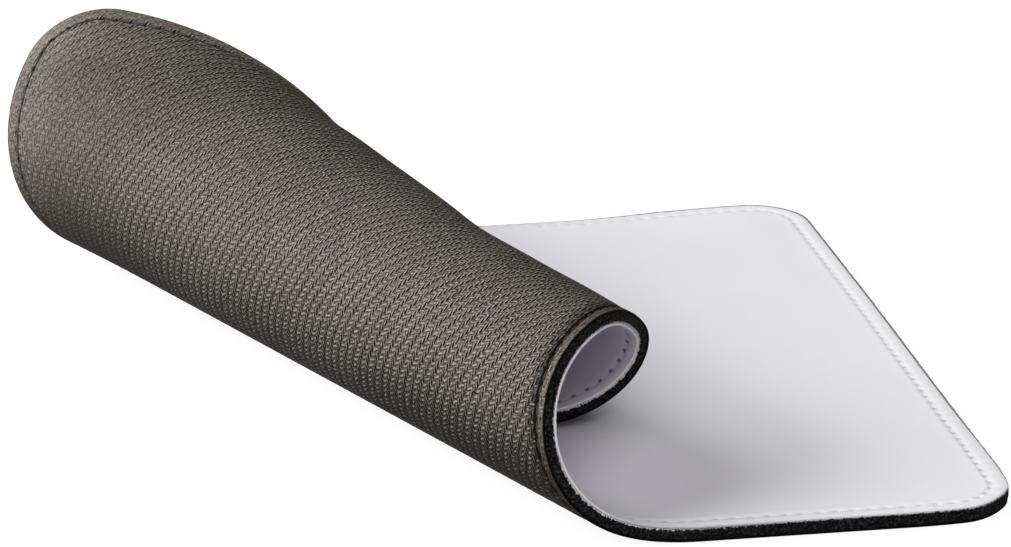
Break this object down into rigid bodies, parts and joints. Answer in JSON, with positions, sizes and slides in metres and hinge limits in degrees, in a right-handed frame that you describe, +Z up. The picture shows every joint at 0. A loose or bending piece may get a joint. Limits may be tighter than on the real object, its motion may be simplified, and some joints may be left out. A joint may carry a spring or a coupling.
{
  "type": "mouse pad",
  "caption": "Rectangular mouse pad with rounded corners and a stitched border, lying flat with its left part rolled up on a slant.",
  "frame": {"origin": "on the surface the pad lies on, under the middle of its bounding box", "axes": "+X towards the flat right edge, +Y from the near edge to the far edge, +Z up"},
  "size_m": [0.196, 0.2216, 0.057],
  "materials": {
    "top_sheet": "smooth matte coated sheet, white",
    "foam_core": "fine-celled foam, black",
    "back_cloth": "coarse twill weave, grey-brown",
    "needle_thread": "twisted thread, off-white",
    "bobbin_thread": "twisted thread, dark grey-brown"
  },
  "bodies": {
    "root": {"top_sheet": "top_sheet", "foam_core": "foam_core", "back_cloth": "back_cloth", "needle_thread": "needle_thread", "bobbin_thread": "bobbin_thread"}
  },
  "joints": []
}
